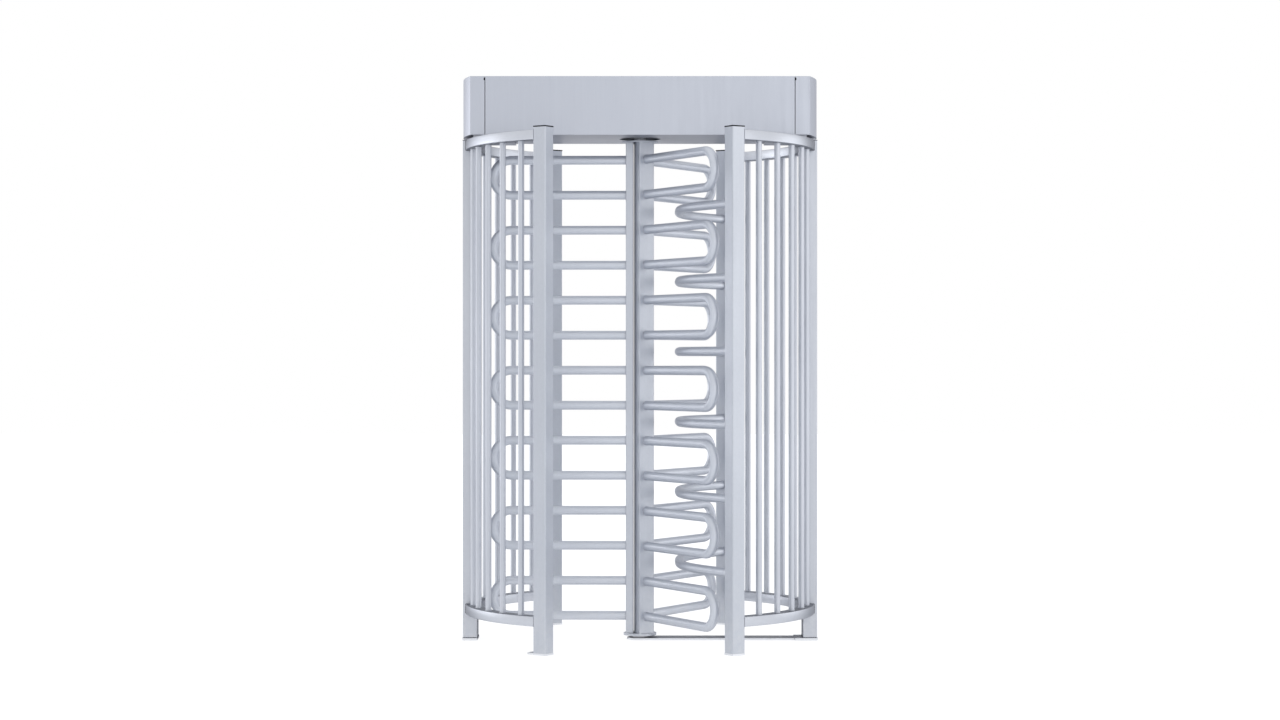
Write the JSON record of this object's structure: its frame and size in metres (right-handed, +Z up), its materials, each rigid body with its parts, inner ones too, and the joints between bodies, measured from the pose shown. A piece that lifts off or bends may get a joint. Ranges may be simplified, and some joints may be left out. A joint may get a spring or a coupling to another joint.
{
  "type": "full height turnstile",
  "caption": "Full height turnstile with a rotor of tube wings, a curved bar cage, a fixed comb and a boxed drive head across the top.",
  "frame": {"origin": "on the floor under the rotor's axis, at the centre of the footprint", "axes": "+Z up, +X from the walking side towards the comb side, -Y the front, where people walk in"},
  "size_m": [1.514, 1.2902, 2.385],
  "materials": {
    "post_steel": "satin, fine grain along the post",
    "rail_steel": "satin, fine grain along the rail",
    "bar_steel": "satin tube",
    "wing_steel": "satin tube",
    "column_steel": "satin, fine grain along the column",
    "header_sheet": "satin sheet with a fine grain along its length",
    "plate_steel": "satin plate with plain cut edges",
    "machined_steel": "turned and milled, lightly oiled",
    "cast_housing": "cast, with a machined bore",
    "bronze": "turned bronze",
    "dark_plastic": "fine moulded texture",
    "drive_case": "satin powder coat",
    "unit_case": "moulded, light grey"
  },
  "bodies": {
    "frame": {"front_left_post": "post_steel", "front_right_post": "post_steel", "rear_left_post": "post_steel", "rear_right_post": "post_steel", "side_post_left": "post_steel", "side_post_right": "post_steel", "lower_rail_front_left": "rail_steel", "lower_rail_front_right": "rail_steel", "lower_rail_rear_left": "rail_steel", "lower_rail_rear_right": "rail_steel", "upper_rail_front_left": "rail_steel", "upper_rail_front_right": "rail_steel", "upper_rail_rear_left": "rail_steel", "upper_rail_rear_right": "rail_steel", "cage_bars_front_left": "bar_steel", "cage_bars_front_right": "bar_steel", "cage_bars_rear_left": "bar_steel", "cage_bars_rear_right": "bar_steel", "comb_bars": "bar_steel", "header_tray": "header_sheet", "header_lid": "header_sheet", "rear_cover": "header_sheet", "end_cap_left": "header_sheet", "end_cap_right": "header_sheet", "post_feet": "plate_steel", "side_post_feet": "plate_steel", "floor_strip": "plate_steel", "head_plates": "plate_steel", "header_beams": "plate_steel", "bulkheads": "plate_steel", "mechanism_plate": "plate_steel", "pivot_base": "machined_steel", "bearing_outer_ring": "machined_steel", "cover_hinge_pins": "machined_steel", "bearing_housing": "cast_housing", "thrust_washer": "bronze", "post_caps": "dark_plastic", "cable_gland": "dark_plastic", "bearing_seals": "dark_plastic", "gearmotor": "drive_case", "lock_solenoid": "drive_case", "control_unit": "unit_case", "power_supply": "unit_case"},
    "rotor": {"rotor_shaft": "column_steel", "bottom_flange": "column_steel", "top_flange": "column_steel", "upright_left": "column_steel", "upright_front": "column_steel", "upright_rear": "column_steel", "wing_loops_left": "wing_steel", "wing_loops_front": "wing_steel", "wing_loops_rear": "wing_steel", "shaft_keys": "machined_steel", "drive_gear": "machined_steel", "lock_disc": "machined_steel", "bearing_inner_ring": "machined_steel", "lower_bush": "bronze"},
    "pinion": {"motor_pinion": "machined_steel"},
    "bolt": {"lock_bolt": "machined_steel"},
    "cover": {"front_cover": "header_sheet"}
  },
  "joints": [
    {"name": "rotor_spin", "type": "hinge", "parent": "frame", "child": "rotor", "pos_m": [0, 0, 0], "axis": [0, 0, 1], "continuous": true},
    {"name": "pinion_spin", "type": "hinge", "parent": "frame", "child": "pinion", "pos_m": [0.165, 0, 0], "axis": [0, 0, 1], "continuous": true},
    {"name": "lock_bolt_slide", "type": "slide", "parent": "frame", "child": "bolt", "axis": [0, -1, 0], "range_m": [0, 0.012], "stiffness_N_per_m": 300, "springref_m": -0.004},
    {"name": "front_cover_hinge", "type": "hinge", "parent": "frame", "child": "cover", "pos_m": [0, -0.221, 2.378], "axis": [-1, 0, 0], "range_deg": [0, 95]}
  ],
  "couplings": [
    {"joint": "pinion_spin", "follows": "rotor_spin", "ratio": -2.2353}
  ]
}
